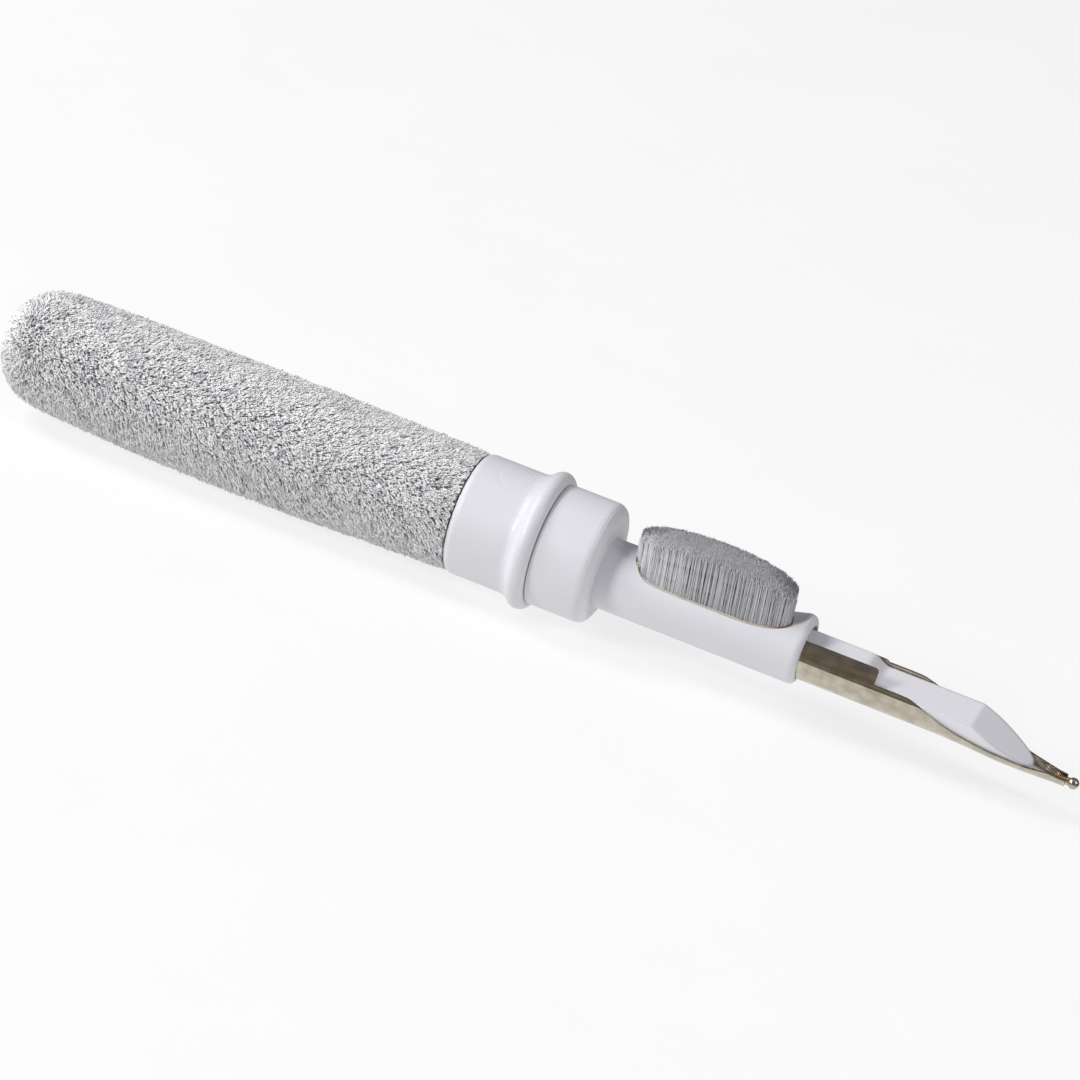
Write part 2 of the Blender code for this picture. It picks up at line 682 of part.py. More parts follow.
def main():
    clear_scene()
    parts = new_collection("cleaning_pen")
    cutters = new_collection("cutters", hidden=True)

    white = material("white_abs", (0.80, 0.80, 0.82), 0.32)
    scraper_white = material("scraper_abs", (0.78, 0.78, 0.81), 0.35)
    natural = material("rod_plastic", (0.86, 0.86, 0.84), 0.45)
    tape = material("tape", (0.80, 0.78, 0.70), 0.60)
    foam = material("foam", (0.72, 0.72, 0.70), 0.95)
    pile = material("heather_pile", (0.76, 0.77, 0.76), 0.95)
    resin = material("root_resin", (0.62, 0.56, 0.42), 0.40)
    bristle = material("grey_bristle", (0.33, 0.34, 0.36), 0.60)
    glue = material("amber_glue", (0.55, 0.36, 0.16), 0.25)
    steel = material("nib_steel", (0.66, 0.62, 0.54), 0.28, 1.0)

    finish(collar_sleeve(parts), white)
    finish(core_rod(parts), natural)
    finish(tape_wrap(parts), tape)
    finish(foam_sleeve(parts), foam)
    finish(pile_sleeve(parts), pile)
    finish(front_body(parts, cutters), white)
    finish(brush_block(parts), resin)
    finish(bristle_tuft(parts, cutters), bristle)
    finish(glue_bead(parts), glue)
    finish(nib_shell(parts, cutters), steel)
    finish(nib_scraper(parts, cutters), scraper_white)
    finish(nib_ball(parts), steel)
    carry_to_origin(parts, cutters)


main()
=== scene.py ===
"""Looks of the cleaning pen core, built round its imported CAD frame.

The pen has no joints, so every piece rides on the one body, "root".  The moulded, steel and glue
nodes keep their CAD shapes and get finer materials.  The plush sleeve and the bristle tuft are soft
solids in the CAD, so strands of real geometry replace them here.

Frame: metres, +X along the pen from the sponge to the nib, +Z the way the brush points.
"""

import math

import bpy
import numpy as np
from mathutils import Matrix, Vector, kdtree


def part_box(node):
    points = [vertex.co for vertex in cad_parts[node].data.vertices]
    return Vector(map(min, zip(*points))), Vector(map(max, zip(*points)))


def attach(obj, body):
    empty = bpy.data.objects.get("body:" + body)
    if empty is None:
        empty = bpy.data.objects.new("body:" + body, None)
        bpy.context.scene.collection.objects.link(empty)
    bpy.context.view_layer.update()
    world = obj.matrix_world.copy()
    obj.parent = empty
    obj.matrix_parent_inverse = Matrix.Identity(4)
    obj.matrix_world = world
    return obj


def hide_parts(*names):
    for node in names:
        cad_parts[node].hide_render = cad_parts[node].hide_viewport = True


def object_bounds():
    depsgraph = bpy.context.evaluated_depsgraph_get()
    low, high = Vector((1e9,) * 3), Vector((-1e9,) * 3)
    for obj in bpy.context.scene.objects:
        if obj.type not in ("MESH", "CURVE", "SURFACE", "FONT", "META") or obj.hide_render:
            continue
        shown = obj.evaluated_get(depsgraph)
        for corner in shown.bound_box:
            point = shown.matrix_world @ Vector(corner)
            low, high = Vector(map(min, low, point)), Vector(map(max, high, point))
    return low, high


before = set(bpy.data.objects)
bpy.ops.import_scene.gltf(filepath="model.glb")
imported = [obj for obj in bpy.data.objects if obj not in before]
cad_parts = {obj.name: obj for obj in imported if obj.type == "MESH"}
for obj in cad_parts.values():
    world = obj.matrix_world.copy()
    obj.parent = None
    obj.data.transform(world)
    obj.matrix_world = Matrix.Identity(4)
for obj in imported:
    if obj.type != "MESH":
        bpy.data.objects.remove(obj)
CAD_LOW, CAD_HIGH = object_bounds()

BODY = "root"
MM = 0.001
GOLDEN_ANGLE = math.pi * (3 - math.sqrt(5))

# ---- Colours and marks ----------------------------------------------------------------------
WHITE_LIGHT = (0.705, 0.705, 0.740)
WHITE_SHADE = (0.672, 0.672, 0.712)
WHITE_GLOSS = 0.40
# The scraper's white is painted lighter than the body's: painted light that makes up for the light the
# brush and neck keep off it.
SCRAPER_BRIGHTENED_LIGHT = (0.785, 0.785, 0.825)
SCRAPER_BRIGHTENED_SHADE = (0.75, 0.75, 0.79)
SCRAPER_GLOSS = 0.42
SCRAPER_EDGE = 0.5 * MM       # how wide its edges are shaded round
STEEL_TINT = (0.60, 0.55, 0.455)
STEEL_DULL = 0.20
BALL_TINT = (0.56, 0.49, 0.44)
BALL_DULL = 0.28
NECK_BAND_TINT = (0.72, 0.56, 0.34)
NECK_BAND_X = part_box("nib_shell")[1].x + 0.10 * MM
NECK_BAND_LENGTH = 0.35 * MM
MARK_R = 1.9 * MM             # the round mark that the mould's gate left on the collar
MARK_EDGE = 0.22 * MM
MARK_X = -2.95 * MM
MARK_OUT = 6.55 * MM          # from the pen's axis
MARK_TURN = math.radians(15)  # from the pen's upper side towards the front
MARK_AT = (MARK_X, -MARK_OUT * math.sin(MARK_TURN), MARK_OUT * math.cos(MARK_TURN))

# ---- Plush sleeve ---------------------------------------------------------------------------
SLEEVE_BODY = [               # distance from the sleeve's rounded end, radius
    (10.5 * MM, 6.62 * MM),
    (15.0 * MM, 6.78 * MM),
    (28.5 * MM, 6.85 * MM),
    (36.5 * MM, 6.83 * MM),
    (43.5 * MM, 6.65 * MM),
    (51.5 * MM, 6.48 * MM),
    (53.3 * MM, 6.36 * MM),
]
DOME_LENGTH = 7.0 * MM
DOME_R = 6.48 * MM
DOME_POWER = 2.5
PILE_LENGTH = 0.95 * MM       # from the backing to the pile's tips
PILE_STRANDS = 98000
PILE_PIECES = 8
PILE_CLUMPS = 4200
CLUMP_PULL = 0.18
CLUMP_WANDER = 0.10 * MM
CLUMP_JITTER = 0.8
PILE_LEAN = 0.70 * MM
PILE_SAG = 0.28 * MM
PILE_JITTER = 1.0
PILE_RADII = [0.060 * MM, 0.064 * MM, 0.054 * MM]
PILE_POINT = 0.10 * MM
PILE_SEED = 11
ROOT_SHARE = 0.45             # of a strand's root in the place of its middle
COLLAR_GAP = 0.03 * MM        # between the pile and the collar
ROOT_GAP = 0.1 * MM
JITTER_ALONG = 8              # strands' places, as the golden-angle spiral counts them
JITTER_TURN = 0.12
DOME_STEPS = 60
LINE_STEPS = 400
BACKING_EVERY = 6             # stations of the dense outline per ring of the backing
BACKING_DEPTH = 0.86          # under the pile's tips, as a share of its length
BACKING_SIDES = 72

# Random spreads of the pile, in millimetres.
CLUMP_RISE = 0.03
STRAND_SINK = -0.06
STRAND_RISE = 0.03
STRAND_CURL = 0.09
STRAND_BELLY = 0.08
TIP_SCATTER = 0.06

# ---- Bristle tuft ---------------------------------------------------------------------------
BRUSH_X = 19.705 * MM
TUFT_HALF_LENGTH = 8.50 * MM
TUFT_HALF_WIDTH = 2.90 * MM
TUFT_POWER = 5.0
TUFT_SKEW = 0.22
CROWN_R = 36.0 * MM
TUFT_STRETCH = 1.012
TUFT_SPREAD = 1.07
TUFT_LEAN = 0.08
LEAN_Z = 2.0 * MM
BRISTLES = 8200
LOCKS = 230
LOCK_PULL = 0.12
LOCK_REACH = 0.75             # how far up its half wave a lock's pull goes
BRISTLE_STATIONS = (0.0, 0.33, 0.7, 1.0)
BRISTLE_RADII = [0.052 * MM, 0.052 * MM, 0.048 * MM, 0.036 * MM]
BRISTLE_POINT = 0.06 * MM
BRISTLE_SEED = 23
RELAX_STEPS = 3
RELAX_NEIGHBOURS = 5
RELAX_PUSH = 0.22
REACH_LIMIT = 1.02
RIM_DROP = 0.50 * MM          # the crown rounds off towards its rim
RIM_START = 0.62
RIM_WIDTH = 0.40
RIM_POWER = 2.5
RIM_FACING_POWER = 4
UPWARD_FACING = 0.45
CROWN_SLACK = 0.1 * MM

# Random spreads of the bristles, in millimetres.
CROWN_UNEVEN = 0.045
RIM_UNEVEN = 0.035            # more towards the rim
RIM_UNEVEN_START = 0.70
RIM_UNEVEN_WIDTH = 0.3
SPLAY = 0.07


# ---- Node helpers ---------------------------------------------------------------------------

def new_material(name):
    made = bpy.data.materials.new(name)
    made.use_nodes = True
    return made, made.node_tree, made.node_tree.nodes["Principled BSDF"]


def set_inputs(tree, node, inputs):
    for key, value in inputs.items():
        if isinstance(value, bpy.types.NodeSocket):
            tree.links.new(value, node.inputs[key])
        else:
            node.inputs[key].default_value = value


def add(tree, kind, inputs=None, **settings):
    node = tree.nodes.new(kind)
    for key, value in settings.items():
        setattr(node, key, value)
    set_inputs(tree, node, inputs or {})
    return node


def place_coords(tree, scale=(1, 1, 1)):
    """The object's own coordinates in metres, stretched by scale."""
    coords = add(tree, "ShaderNodeTexCoord").outputs["Object"]
    return add(tree, "ShaderNodeMapping", {"Vector": coords, "Scale": scale}).outputs["Vector"]


def noise(tree, scale, detail=3.0, roughness=0.5, stretch=(1, 1, 1)):
    inputs = {
        "Vector": place_coords(tree, stretch), "Scale": scale, "Detail": detail, "Roughness": roughness,
    }
    return add(tree, "ShaderNodeTexNoise", inputs).outputs["Fac"]


def ramp(tree, value, stops):
    """Colours (r, g, b) at positions along a value."""
    node = add(tree, "ShaderNodeValToRGB", {"Fac": value})
    elements = node.color_ramp.elements
    while len(elements) < len(stops):
        elements.new(0.5)
    for element, (position, colour) in zip(elements, stops):
        element.position = position
        element.color = (*colour, 1.0)
    return node.outputs["Color"]


def remap(tree, value, low, high, to_low, to_high, smooth=False):
    node = add(tree, "ShaderNodeMapRange", {"Value": value})
    if smooth:
        node.interpolation_type = "SMOOTHSTEP"
    for key, number in (("From Min", low), ("From Max", high), ("To Min", to_low), ("To Max", to_high)):
        node.inputs[key].default_value = number
    return node.outputs["Result"]


def maths(tree, operation, first, second=0.0):
    node = add(tree, "ShaderNodeMath", operation=operation)
    set_inputs(tree, node, {0: first, 1: second})
    return node.outputs["Value"]


def mix(tree, factor, first, second, blend="MIX"):
    node = add(tree, "ShaderNodeMix", data_type="RGBA", blend_type=blend)
    sockets = {"Factor": 0, "A": 6, "B": 7}
    for key, value in (("Factor", factor), ("A", first), ("B", second)):
        socket = node.inputs[sockets[key]]
        if isinstance(value, bpy.types.NodeSocket):
            tree.links.new(value, socket)
        else:
            socket.default_value = value if key == "Factor" else (*value, 1.0)
    return node.outputs[2]


def bump(tree, height, strength, distance, under=None):
    inputs = {"Height": height, "Strength": strength, "Distance": distance}
    if under is not None:
        inputs["Normal"] = under
    return add(tree, "ShaderNodeBump", inputs).outputs["Normal"]


# ---- Materials ------------------------------------------------------------------------------

def moulded_white(name, light, shade, gloss, mark_at=None, edge=0.0):
    """Moulded white plastic with a faint mottle and a fine grain.

    mark_at is the centre of an optional gate mark, and edge is how wide sharp edges are shaded round.
    """
    made, tree, shader = new_material(name)
    mottle = noise(tree, scale=260.0, detail=2.0)
    colour = mix(tree, mottle, light, shade)
    grain = noise(tree, scale=1400.0, detail=1.0)
    under = None
    if edge:
        under = add(tree, "ShaderNodeBevel", {"Radius": edge}, samples=8).outputs["Normal"]
    normal = bump(tree, grain, strength=0.04, distance=0.02 * MM, under=under)
    if mark_at is not None:
        coords = add(tree, "ShaderNodeTexCoord").outputs["Object"]
        span = add(tree, "ShaderNodeVectorMath", {0: coords, 1: mark_at}, operation="DISTANCE")
        gap = span.outputs["Value"]
        outer = remap(tree, gap, MARK_R - MARK_EDGE, MARK_R, 0.0, 1.0, smooth=True)
        inner = remap(tree, gap, MARK_R, MARK_R + MARK_EDGE, 1.0, 0.0, smooth=True)
        groove = maths(tree, "MULTIPLY", outer, inner)
        normal = bump(tree, groove, strength=0.45, distance=-0.03 * MM, under=normal)
    wear_noise = noise(tree, scale=900.0, detail=3.0)
    rough = remap(tree, wear_noise, 0.3, 0.7, gloss - 0.03, gloss + 0.05)
    set_inputs(tree, shader, {"Base Color": colour, "Roughness": rough, "Normal": normal, "IOR": 1.5})
    return made


def nib_steel(name, tint, dull):
    """Drawn and tumbled steel: lengthwise drawing lines, faint dents and smudges."""
    made, tree, shader = new_material(name)
    lines = noise(tree, scale=1.0, detail=4.0, roughness=0.6, stretch=(160, 5200, 5200))
    smudge = noise(tree, scale=700.0, detail=3.0)
    blotch = noise(tree, scale=520.0, detail=2.0)
    dark = tuple(0.72 * part for part in tint)
    colour = mix(tree, remap(tree, smudge, 0.35, 0.7, 0.0, 1.0), dark, tint)
    normal = bump(tree, lines, strength=0.10, distance=0.02 * MM)
    normal = bump(tree, blotch, strength=0.32, distance=0.10 * MM, under=normal)
    rough = remap(tree, lines, 0.3, 0.7, dull - 0.05, dull + 0.09)
    inputs = {"Base Color": colour, "Metallic": 1.0, "Roughness": rough, "Normal": normal}
    set_inputs(tree, shader, inputs)
    return made


def ball_with_neck_band(name, tint, band_tint):
    """The nib's steel, with a golden band where the ball meets its neck."""
    made = nib_steel(name, tint, BALL_DULL)
    tree = made.node_tree
    shader = tree.nodes["Principled BSDF"]
    coords = add(tree, "ShaderNodeTexCoord").outputs["Object"]
    along = add(tree, "ShaderNodeSeparateXYZ", {"Vector": coords}).outputs["X"]
    share = remap(tree, along, NECK_BAND_X, NECK_BAND_X + NECK_BAND_LENGTH, 1.0, 0.0, smooth=True)
    colour = mix(tree, share, shader.inputs["Base Color"].links[0].from_socket, band_tint)
    set_inputs(tree, shader, {"Base Color": colour})
    return made


def strand_channels(tree):
    """Height along the strand, tone of its clump and tone of its own, each from 0 to 1."""
    stored = add(tree, "ShaderNodeAttribute", attribute_name="strand").outputs["Color"]
    parts = add(tree, "ShaderNodeSeparateColor", {"Color": stored})
    return [parts.outputs[key] for key in ("Red", "Green", "Blue")]


def heather_pile(name):
    """Off-white plush, a little greyer at its roots, with a share of blue-grey strands."""
    made, tree, shader = new_material(name)
    height, clump, own = strand_channels(tree)
    along = ramp(tree, height, [
        (0.0, (0.84, 0.86, 0.88)),
        (0.35, (0.93, 0.94, 0.95)),
        (0.68, (0.98, 0.981, 0.98)),
        (1.0, (0.985, 0.984, 0.978)),
    ])
    grey = ramp(tree, height, [
        (0.0, (0.22, 0.24, 0.28)),
        (0.5, (0.40, 0.43, 0.48)),
        (1.0, (0.66, 0.69, 0.73)),
    ])
    of_clump = maths(tree, "MULTIPLY", clump, 0.68)
    share = maths(tree, "ADD", of_clump, maths(tree, "MULTIPLY", own, 0.32))
    is_grey = remap(tree, share, 0.18, 0.28, 1.0, 0.0, smooth=True)
    colour = mix(tree, is_grey, along, grey)
    patch = remap(tree, noise(tree, scale=330.0, detail=3.0), 0.35, 0.65, 0.94, 1.02)
    colour = mix(tree, 1.0, colour, patch, "MULTIPLY")
    set_inputs(tree, shader, {
        "Base Color": colour, "Roughness": 0.85, "Specular IOR Level": 0.25,
        "Sheen Weight": 0.60, "Sheen Roughness": 0.5,
    })
    return made


def pile_ground(name):
    """The knitted backing under the pile."""
    made, tree, shader = new_material(name)
    weave = noise(tree, scale=2600.0, detail=4.0, roughness=0.65)
    colour = ramp(tree, weave, [(0.3, (0.66, 0.69, 0.72)), (0.7, (0.88, 0.89, 0.90))])
    normal = bump(tree, weave, strength=0.8, distance=0.15 * MM)
    set_inputs(tree, shader, {"Base Color": colour, "Roughness": 0.95, "Normal": normal})
    return made


def grey_nylon(name):
    """Grey bristles, with painted shade darkening them at the root, and slightly darker at the tip."""
    made, tree, shader = new_material(name)
    height, lock, own = strand_channels(tree)
    tone = maths(tree, "ADD", maths(tree, "MULTIPLY", lock, 0.4), maths(tree, "MULTIPLY", own, 0.6))
    colour = mix(tree, tone, (0.44, 0.442, 0.466), (0.65, 0.652, 0.676))
    # Painted shade: this ramp darkens the roots, where the tuft is dense; it also darkens the tips
    # slightly.
    shade = ramp(tree, height, [
        (0.0, (0.74, 0.72, 0.72)),
        (0.25, (0.90, 0.90, 0.90)),
        (0.75, (1.0, 1.0, 1.0)),
        (1.0, (0.86, 0.86, 0.87)),
    ])
    colour = mix(tree, 1.0, colour, shade, "MULTIPLY")
    set_inputs(tree, shader, {"Base Color": colour, "Roughness": 0.48, "Specular IOR Level": 0.4})
    return made


def amber_glue(name):
    """Thin cured glue: pale along the sides, and darker amber towards the ends."""
    made, tree, shader = new_material(name)
    coords = add(tree, "ShaderNodeTexCoord").outputs["Object"]
    along = add(tree, "ShaderNodeSeparateXYZ", {"Vector": coords}).outputs["X"]
    offset = maths(tree, "ABSOLUTE", maths(tree, "SUBTRACT", along, BRUSH_X))
    ends = remap(tree, offset, 0.72 * TUFT_HALF_LENGTH, TUFT_HALF_LENGTH, 0.0, 1.0, smooth=True)
    wander = remap(tree, noise(tree, scale=800.0, detail=3.0), 0.3, 0.7, -0.25, 0.25)
    darker_towards_ends = maths(tree, "ADD", ends, wander)
    colour = ramp(tree, darker_towards_ends, [
        (0.0, (0.62, 0.57, 0.48)),
        (0.5, (0.42, 0.30, 0.17)),
        (1.0, (0.26, 0.14, 0.06)),
    ])
    ripple = noise(tree, scale=2600.0, detail=2.0)
    normal = bump(tree, ripple, strength=0.3, distance=0.05 * MM)
    set_inputs(tree, shader, {"Base Color": colour, "Roughness": 0.22, "Normal": normal, "IOR": 1.52})
    return made


def hidden_finish(name, light, dark, scale, rough):
    """A plain grainy finish for the pieces inside the pen."""
    made, tree, shader = new_material(name)
    grain = noise(tree, scale=scale, detail=4.0, roughness=0.6)
    colour = ramp(tree, grain, [(0.3, dark), (0.7, light)])
    normal = bump(tree, grain, strength=0.4, distance=0.1 * MM)
    set_inputs(tree, shader, {"Base Color": colour, "Roughness": rough, "Normal": normal})
    return made


# ---- Strands --------------------------------------------------------------------------------

STRAND_SIDES = 3
FACING_SHARE = 0.76           # how far a strand is lit like the surface it belongs to
NEARLY_ALONG = 0.8            # a strand this much along X takes its sideways direction from Y


def unit(vectors):
    return vectors / np.linalg.norm(vectors, axis=-1, keepdims=True)


def strand_mesh(name, centres, radii, point, tones, facing, made):
    """One closed, pointed tube per strand.

    centres is (strand, station, xyz), radii is (station), point is the length of the pointed tip,
    tones is (strand, 2): the clump's tone and the strand's own, and facing is (strand, xyz): the
    way the surface of the whole bundle faces there.
    """
    count, stations, _ = centres.shape
    way = unit(centres[:, -1] - centres[:, 0])
    along_x = np.abs(way[:, :1]) > NEARLY_ALONG
    helper = np.where(along_x, np.array([[0.0, 1.0, 0.0]]), np.array([[1.0, 0.0, 0.0]]))
    side = unit(np.cross(way, helper))
    other = np.cross(way, side)
    spin = np.arange(count) * GOLDEN_ANGLE
    turns = spin[:, None] + np.arange(STRAND_SIDES) * math.tau / STRAND_SIDES
    ring = np.cos(turns)[..., None] * side[:, None] + np.sin(turns)[..., None] * other[:, None]
    tube = centres[:, :, None] + ring[:, None] * np.asarray(radii)[None, :, None, None]
    apex = centres[:, -1] + unit(centres[:, -1] - centres[:, -2]) * point
    points = np.concatenate([tube.reshape(count, -1, 3), apex[:, None]], axis=1)
    per_strand = stations * STRAND_SIDES + 1

    faces = []
    for k in range(stations - 1):
        for s in range(STRAND_SIDES):
            p = k * STRAND_SIDES + s
            q = k * STRAND_SIDES + (s + 1) % STRAND_SIDES
            faces += [(p, q, q + STRAND_SIDES), (p, q + STRAND_SIDES, p + STRAND_SIDES)]
    top = (stations - 1) * STRAND_SIDES
    faces += [(top + s, top + (s + 1) % STRAND_SIDES, per_strand - 1) for s in range(STRAND_SIDES)]
    faces.append((2, 1, 0))
    corners = np.array(faces)[None] + (np.arange(count) * per_strand)[:, None, None]
    corners = corners.reshape(-1, 3)

    mesh = bpy.data.meshes.new(name)
    mesh.vertices.add(count * per_strand)
    mesh.vertices.foreach_set("co", points.reshape(-1).astype(np.float32))
    mesh.loops.add(corners.size)
    mesh.loops.foreach_set("vertex_index", corners.reshape(-1).astype(np.int32))
    mesh.polygons.add(len(corners))
    mesh.polygons.foreach_set("loop_start", np.arange(0, corners.size, 3, dtype=np.int32))
    mesh.update(calc_edges=True)

    heights = np.append(np.repeat(np.linspace(0, 1, stations), STRAND_SIDES), 1.0)
    colours = np.ones((count, per_strand, 4), np.float32)
    colours[..., 0] = heights[None]
    colours[..., 1] = tones[:, :1]
    colours[..., 2] = tones[:, 1:]
    layer = mesh.color_attributes.new("strand", "FLOAT_COLOR", "POINT")
    layer.data.foreach_set("color", colours.reshape(-1))
    mesh.shade_smooth()
    outward = np.broadcast_to(ring[:, None], (count, stations, STRAND_SIDES, 3)).reshape(count, -1, 3)
    outward = np.concatenate([outward, unit(apex - centres[:, -1])[:, None]], axis=1)
    normals = unit(outward * (1 - FACING_SHARE) + facing[:, None] * FACING_SHARE)
    mesh.normals_split_custom_set_from_vertices(normals.reshape(-1, 3))
    mesh.materials.append(made)
    obj = bpy.data.objects.new(name, mesh)
    bpy.context.scene.collection.objects.link(obj)
    return obj


def nearest(points, targets):
    """Index of the target nearest to each point."""
    tree = kdtree.KDTree(len(targets))
    for i, target in enumerate(targets):
        tree.insert(target, i)
    tree.balance()
    return np.array([tree.find(point)[1] for point in points])


# ---- Plush sleeve ---------------------------------------------------------------------------

SLEEVE_LOW, SLEEVE_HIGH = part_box("pile_sleeve")
COLLAR_LOW, COLLAR_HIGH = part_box("collar_sleeve")


def sleeve_line():
    """Dense (x, radius) points of the pile's outer surface, from its rounded end to the collar."""
    points = []
    for a in np.radians(np.linspace(90, 0, DOME_STEPS)):
        x = DOME_LENGTH * (1 - math.sin(a) ** (2 / DOME_POWER))
        points.append((x, DOME_R * math.cos(a) ** (2 / DOME_POWER)))
    points += SLEEVE_BODY
    line = np.array(points)
    spans = np.linalg.norm(np.diff(line, axis=0), axis=1)
    along = np.concatenate([[0], np.cumsum(spans)])
    even = np.linspace(0, along[-1], LINE_STEPS)
    x = np.interp(even, along, line[:, 0])
    radius = np.interp(even, along, line[:, 1])
    return x + SLEEVE_LOW.x, np.maximum(radius, 0)


def on_sleeve(count, rng, jitter):
    """Points and outward normals spread evenly over the sleeve's outer surface."""
    x, radius = sleeve_line()
    area = np.concatenate([[0], np.cumsum((radius[1:] + radius[:-1]) / 2)])
    share = (np.arange(count) + 0.5 + rng.uniform(-jitter, jitter, count) * JITTER_ALONG) / count
    station = np.interp(np.clip(share, 0, 1) * area[-1], area, np.arange(len(x)))
    turn = np.arange(count) * GOLDEN_ANGLE + rng.uniform(-jitter, jitter, count) * JITTER_TURN
    px = np.interp(station, np.arange(len(x)), x)
    pr = np.interp(station, np.arange(len(x)), radius)
    slope_x = np.interp(station, np.arange(len(x)), np.gradient(x))
    slope_r = np.interp(station, np.arange(len(x)), np.gradient(radius))
    length = np.hypot(slope_x, slope_r)
    nx, nr = -slope_r / length, slope_x / length
    points = np.stack([px, pr * np.cos(turn), pr * np.sin(turn)], axis=1)
    normals = np.stack([nx, nr * np.cos(turn), nr * np.sin(turn)], axis=1)
    return points, normals


def sag(points):
    """The soft sleeve hangs a little between its ends."""
    share = (points[..., 0] - SLEEVE_LOW.x) / (SLEEVE_HIGH.x - SLEEVE_LOW.x)
    points[..., 2] -= PILE_SAG * np.sin(np.clip(share, 0, 1) * math.pi) ** 2
    return points


def pile_backing(made):
    """The sleeve's knitted ground, under the pile."""
    x, radius = sleeve_line()
    keep = radius > PILE_LENGTH
    x = x[keep][::BACKING_EVERY]
    radius = radius[keep][::BACKING_EVERY] - BACKING_DEPTH * PILE_LENGTH
    sides = BACKING_SIDES
    turn = np.arange(sides) * math.tau / sides
    rings = []
    for a, r in zip(x, radius):
        rings.append(np.stack([np.full(sides, a), r * np.cos(turn), r * np.sin(turn)], axis=1))
    verts = sag(np.concatenate(rings))
    faces = []
    for k in range(len(rings) - 1):
        for s in range(sides):
            p, q = k * sides + s, k * sides + (s + 1) % sides
            faces.append((p, p + sides, q + sides, q))
    faces.append(tuple(range(sides)))
    last = (len(rings) - 1) * sides
    faces.append(tuple(last + s for s in reversed(range(sides))))
    mesh = bpy.data.meshes.new("pile_backing")
    mesh.from_pydata([tuple(v) for v in verts], [], faces)
    mesh.shade_smooth()
    mesh.materials.append(made)
    obj = bpy.data.objects.new("pile_backing", mesh)
    bpy.context.scene.collection.objects.link(obj)
    return obj


def pile_strands(made):
    """The plush: short strands that lean towards the collar and gather a little into clumps."""
    rng = np.random.default_rng(PILE_SEED)
    points, normals = on_sleeve(PILE_STRANDS, rng, PILE_JITTER)
    hubs, hub_normals = on_sleeve(PILE_CLUMPS, rng, CLUMP_JITTER)
    hub_of = nearest(points, hubs)
    hub_tone = rng.uniform(0, 1, PILE_CLUMPS)
    hub_rise = rng.normal(0, CLUMP_RISE, PILE_CLUMPS) * MM
    wander = rng.normal(0, 1, (PILE_CLUMPS, 3)) * CLUMP_WANDER
    wander -= hub_normals * np.sum(wander * hub_normals, axis=1, keepdims=True)

    on_body = np.clip((points[:, 0] - SLEEVE_LOW.x) / DOME_LENGTH, 0, 1)
    lean = np.zeros_like(points)
    lean[:, 0] = PILE_LEAN * on_body
    roots = points - normals * PILE_LENGTH - lean * 0.5
    hub_tips = hubs + wander
    own_rise = rng.normal(STRAND_SINK, STRAND_RISE, PILE_STRANDS) * MM
    tips = points + (hub_tips[hub_of] - points) * CLUMP_PULL + lean * 0.5
    tips += normals * (own_rise + hub_rise[hub_of])[:, None]
    curl = rng.normal(0, STRAND_CURL, (PILE_STRANDS, 3)) * MM
    tips += rng.normal(0, TIP_SCATTER, (PILE_STRANDS, 3)) * MM
    edge = COLLAR_LOW.x - COLLAR_GAP
    tips[:, 0] = np.minimum(tips[:, 0], edge)
    roots[:, 0] = np.minimum(roots[:, 0], SLEEVE_HIGH.x - ROOT_GAP)
    middle = roots * ROOT_SHARE + tips * (1 - ROOT_SHARE) + curl + normals * STRAND_BELLY * MM
    middle[:, 0] = np.minimum(middle[:, 0], edge)
    centres = sag(np.stack([roots, middle, tips], axis=1))
    tones = np.stack([hub_tone[hub_of], rng.uniform(0, 1, PILE_STRANDS)], axis=1)
    made_pieces = []
    for i in range(PILE_PIECES):
        chosen = slice(i, None, PILE_PIECES)
        name = f"pile_strands_{i + 1}"
        made_pieces.append(strand_mesh(
            name, centres[chosen], PILE_RADII, PILE_POINT, tones[chosen], normals[chosen], made))
    return made_pieces


# ---- Bristle tuft ---------------------------------------------------------------------------

TUFT_LOW, TUFT_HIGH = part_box("bristle_tuft")


def in_tuft(count, rng):
    """Points spread at random over the tuft's superellipse."""
    found = []
    total = 0
    while total < count:
        trial = rng.uniform(-1, 1, (count, 2))
        reach = (np.abs(trial) ** TUFT_POWER).sum(axis=1) ** (1 / TUFT_POWER)
        found.append(trial[reach < 1])
        total += len(found[-1])
    chosen = np.concatenate(found)[:count]
    y = chosen[:, 1] * TUFT_HALF_WIDTH
    x = chosen[:, 0] * TUFT_HALF_LENGTH - TUFT_SKEW * y
    return x, y


def rim_reach(x, y):
    """How near points are to the tuft's rim: 0 at its middle and 1 on the rim."""
    along = (np.abs(x + TUFT_SKEW * y) / TUFT_HALF_LENGTH) ** TUFT_POWER
    across = (np.abs(y) / TUFT_HALF_WIDTH) ** TUFT_POWER
    return np.minimum((along + across) ** (1 / TUFT_POWER), REACH_LIMIT)


def relaxed(x, y):
    """Pushes crowded points apart, so that the bristles stand evenly."""
    points = np.stack([x, y], axis=1)
    pitch = math.sqrt(4 * TUFT_HALF_LENGTH * TUFT_HALF_WIDTH / len(points))
    for _ in range(RELAX_STEPS):
        tree = kdtree.KDTree(len(points))
        for i, point in enumerate(points):
            tree.insert((point[0], point[1], 0), i)
        tree.balance()
        moved = points.copy()
        for i, point in enumerate(points):
            for _, j, gap in tree.find_n((point[0], point[1], 0), RELAX_NEIGHBOURS)[1:]:
                if 0 < gap < pitch:
                    moved[i] += (point - points[j]) / gap * (pitch - gap) * RELAX_PUSH
        points = moved
    return points[:, 0], points[:, 1]


